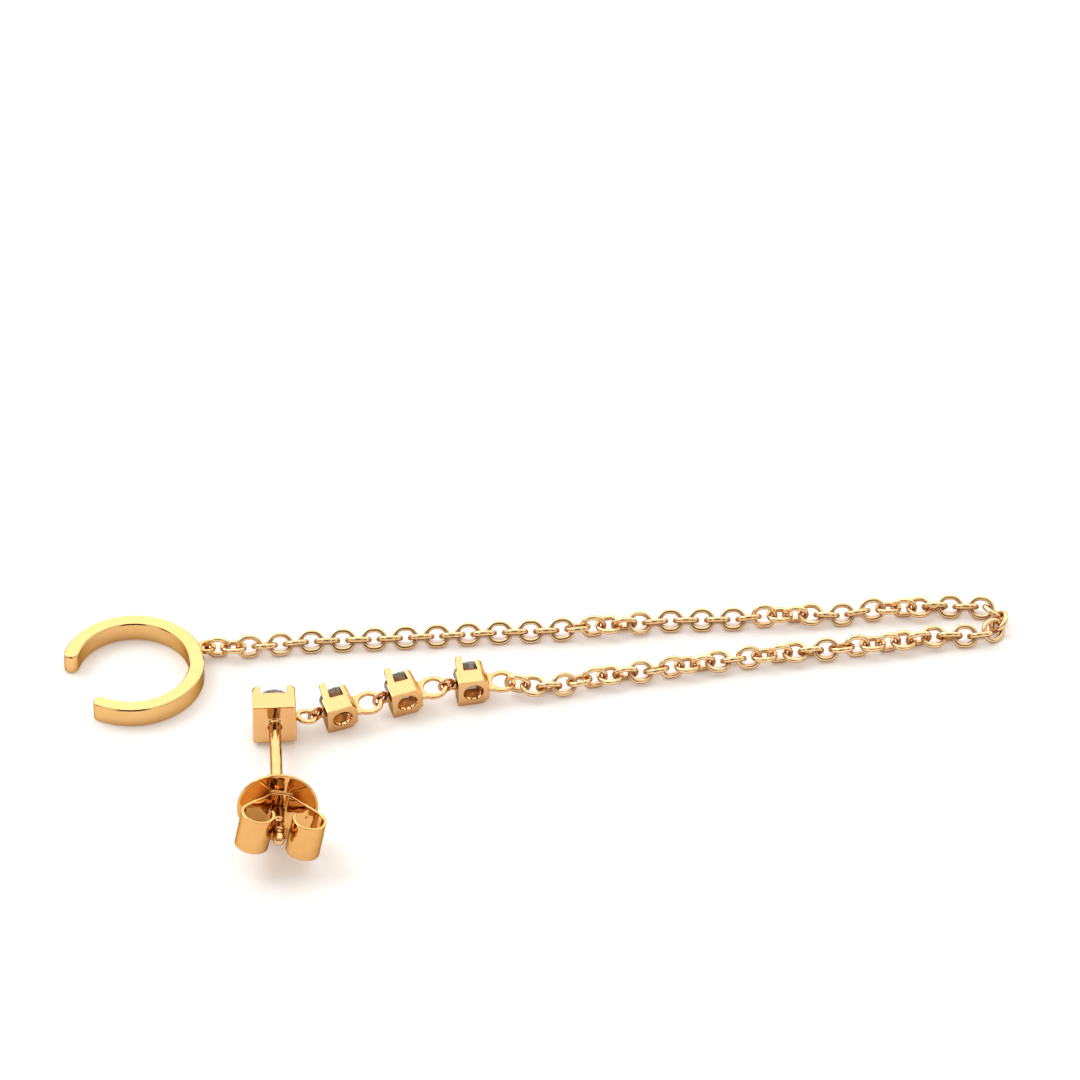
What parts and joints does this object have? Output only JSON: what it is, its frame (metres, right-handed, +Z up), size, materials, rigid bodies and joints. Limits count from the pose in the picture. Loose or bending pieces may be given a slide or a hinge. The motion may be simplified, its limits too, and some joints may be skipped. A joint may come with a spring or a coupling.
{
  "type": "ear chain earring",
  "caption": "Ear chain earring lying on a surface: an open ear cuff joined by a long cable chain to a row of stone-set drops and a stone-set stud with a butterfly clutch.",
  "frame": {"origin": "centre of the bottom of its bounding box, on the surface that it lies on", "axes": "+Z up from the surface and along the ear cuff's axis, +X along the length of the laid-out chain from the ear cuff to its far bend, +Y from the clutch's side towards the chain"},
  "size_m": [0.0618, 0.0256, 0.0052],
  "materials": {
    "gold": "polished yellow gold",
    "chain_gold": "polished yellow gold with a slight pink cast",
    "clutch_gold": "mirror-polished deep yellow gold",
    "stone": "clear cut stone"
  },
  "bodies": {
    "root": {"ear_cuff": "gold", "cable_chain": "chain_gold", "stud_setting": "gold", "stud_stone": "stone", "drop_setting_1": "gold", "drop_setting_2": "gold", "drop_setting_3": "gold", "drop_stone_1": "stone", "drop_stone_2": "stone", "drop_stone_3": "stone", "jump_ring_1": "chain_gold", "jump_ring_2": "chain_gold", "jump_ring_3": "chain_gold"},
    "clutch": {"clutch": "clutch_gold"}
  },
  "joints": [
    {"name": "clutch_slide", "type": "slide", "parent": "root", "child": "clutch", "axis": [0.0503, -0.9929, 0.108], "range_m": [-0.005, 0.006]}
  ]
}
